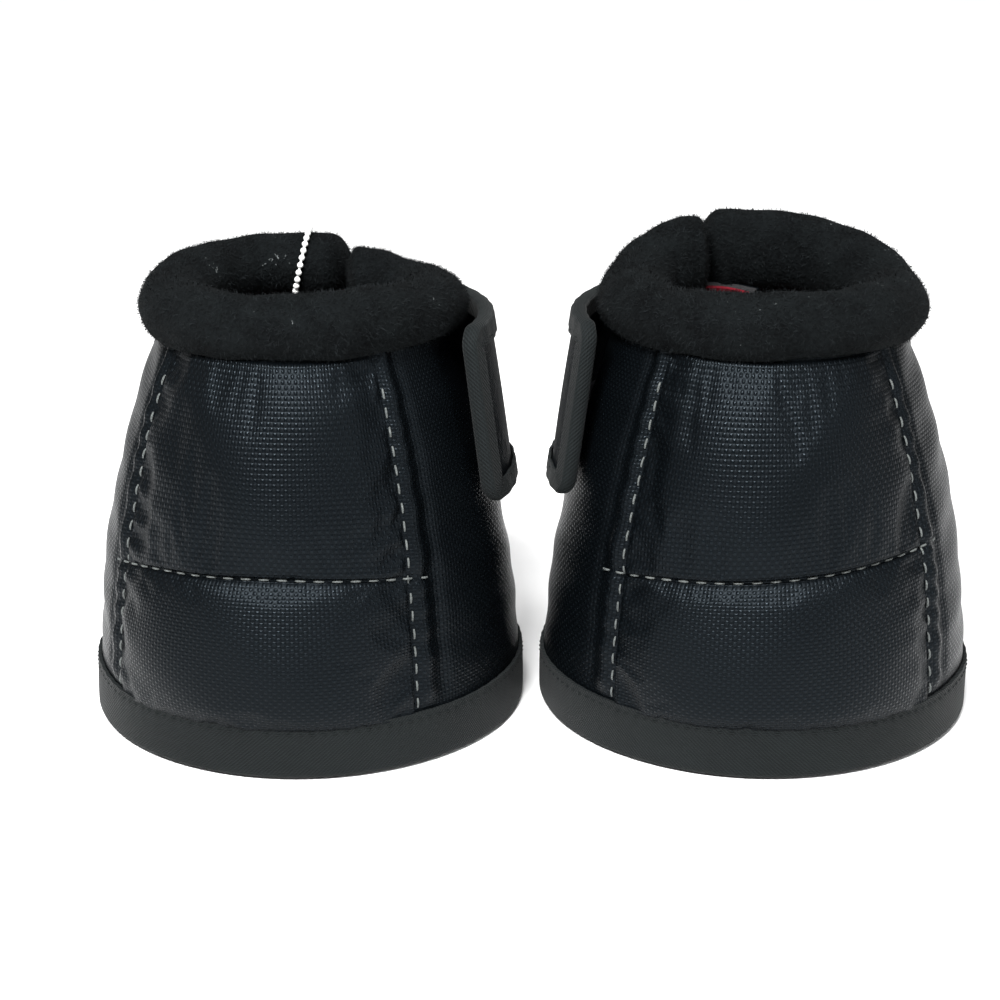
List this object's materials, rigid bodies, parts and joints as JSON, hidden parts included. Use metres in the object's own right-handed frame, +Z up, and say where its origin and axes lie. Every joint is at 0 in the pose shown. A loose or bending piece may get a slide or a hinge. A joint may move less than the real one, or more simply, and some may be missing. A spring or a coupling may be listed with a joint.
{
  "type": "bell boots",
  "caption": "Pair of fleece-collared bell boots for a horse's front hooves, with quilted strike panels, taped edges and a wrap-round hook-and-loop strap on each.",
  "frame": {"origin": "on the ground midway between the two boots, at the centre of the pair's outline", "axes": "+Z up, +X from the left boot to the right boot as they are seen from the strike panels, -Y towards the strike panels"},
  "size_m": [0.2866, 0.1436, 0.1461],
  "materials": {
    "ballistic_nylon": "basket-woven, low sheen",
    "wall_foam": "closed-cell neoprene foam",
    "red_lining": "brushed loop knit",
    "fleece": "deep-pile fleece",
    "collar_foam": "soft foam roll",
    "binding_tape": "twill tape",
    "thread": "bonded polyester thread",
    "loop_tape": "loop pile",
    "webbing": "stiff webbing",
    "hook_tape": "moulded hooks",
    "tag_plastic": "moulded nylon"
  },
  "bodies": {
    "left_boot": {"left_front_shell": "ballistic_nylon", "left_front_padding": "wall_foam", "left_front_lining": "red_lining", "left_front_fleece": "fleece", "left_front_collar_core": "collar_foam", "left_front_tape": "binding_tape", "left_panel_upper": "ballistic_nylon", "left_panel_lower": "ballistic_nylon", "left_panel_foam": "wall_foam", "left_panel_thread": "thread", "left_loop_patch": "loop_tape"},
    "left_outer_wing": {"left_outer_wing_shell": "ballistic_nylon", "left_outer_wing_padding": "wall_foam", "left_outer_wing_lining": "red_lining", "left_outer_wing_fleece": "fleece", "left_outer_wing_collar_core": "collar_foam", "left_outer_wing_tape": "binding_tape", "tag_chain": "tag_plastic"},
    "left_inner_wing": {"left_inner_wing_shell": "ballistic_nylon", "left_inner_wing_padding": "wall_foam", "left_inner_wing_lining": "red_lining", "left_inner_wing_fleece": "fleece", "left_inner_wing_collar_core": "collar_foam", "left_inner_wing_tape": "binding_tape"},
    "left_strap": {"left_strap_cover": "ballistic_nylon", "left_strap_core": "webbing", "left_strap_tape": "binding_tape", "left_hook_patch": "hook_tape"},
    "right_boot": {"right_front_shell": "ballistic_nylon", "right_front_padding": "wall_foam", "right_front_lining": "red_lining", "right_front_fleece": "fleece", "right_front_collar_core": "collar_foam", "right_front_tape": "binding_tape", "right_panel_upper": "ballistic_nylon", "right_panel_lower": "ballistic_nylon", "right_panel_foam": "wall_foam", "right_panel_thread": "thread", "right_loop_patch": "loop_tape"},
    "right_outer_wing": {"right_outer_wing_shell": "ballistic_nylon", "right_outer_wing_padding": "wall_foam", "right_outer_wing_lining": "red_lining", "right_outer_wing_fleece": "fleece", "right_outer_wing_collar_core": "collar_foam", "right_outer_wing_tape": "binding_tape"},
    "right_inner_wing": {"right_inner_wing_shell": "ballistic_nylon", "right_inner_wing_padding": "wall_foam", "right_inner_wing_lining": "red_lining", "right_inner_wing_fleece": "fleece", "right_inner_wing_collar_core": "collar_foam", "right_inner_wing_tape": "binding_tape"},
    "right_strap": {"right_strap_cover": "ballistic_nylon", "right_strap_core": "webbing", "right_strap_tape": "binding_tape", "right_hook_patch": "hook_tape"}
  },
  "joints": [
    {"name": "right_boot_lift", "type": "slide", "parent": "left_boot", "child": "right_boot", "axis": [0, 0, 1], "range_m": [0, 0.15]},
    {"name": "left_outer_wing_open", "type": "hinge", "parent": "left_boot", "child": "left_outer_wing", "pos_m": [-0.14496, 0.01044, 0], "axis": [0.127, -0.0156, 0.9918], "range_deg": [0, 70]},
    {"name": "left_inner_wing_open", "type": "hinge", "parent": "left_boot", "child": "left_inner_wing", "pos_m": [-0.00297, 0.02036, 0], "axis": [-0.1236, -0.0331, 0.9918], "range_deg": [-36, 0]},
    {"name": "left_strap_peel", "type": "hinge", "parent": "left_outer_wing", "child": "left_strap", "pos_m": [-0.13314, 0.04892, 0], "axis": [0.1097, -0.0857, 0.9903], "range_deg": [0, 100]},
    {"name": "right_outer_wing_open", "type": "hinge", "parent": "right_boot", "child": "right_outer_wing", "pos_m": [0.14549, 0.00286, 0], "axis": [0.1279, 0.0022, -0.9918], "range_deg": [0, 70]},
    {"name": "right_inner_wing_open", "type": "hinge", "parent": "right_boot", "child": "right_inner_wing", "pos_m": [0.00532, 0.02758, 0], "axis": [-0.1194, 0.0458, -0.9918], "range_deg": [-36, 0]},
    {"name": "right_strap_peel", "type": "hinge", "parent": "right_outer_wing", "child": "right_strap", "pos_m": [0.13776, 0.04238, 0], "axis": [0.1181, 0.0738, -0.9903], "range_deg": [0, 100]}
  ],
  "couplings": [
    {"joint": "left_inner_wing_open", "follows": "left_outer_wing_open", "ratio": -0.5},
    {"joint": "right_inner_wing_open", "follows": "right_outer_wing_open", "ratio": -0.5}
  ]
}
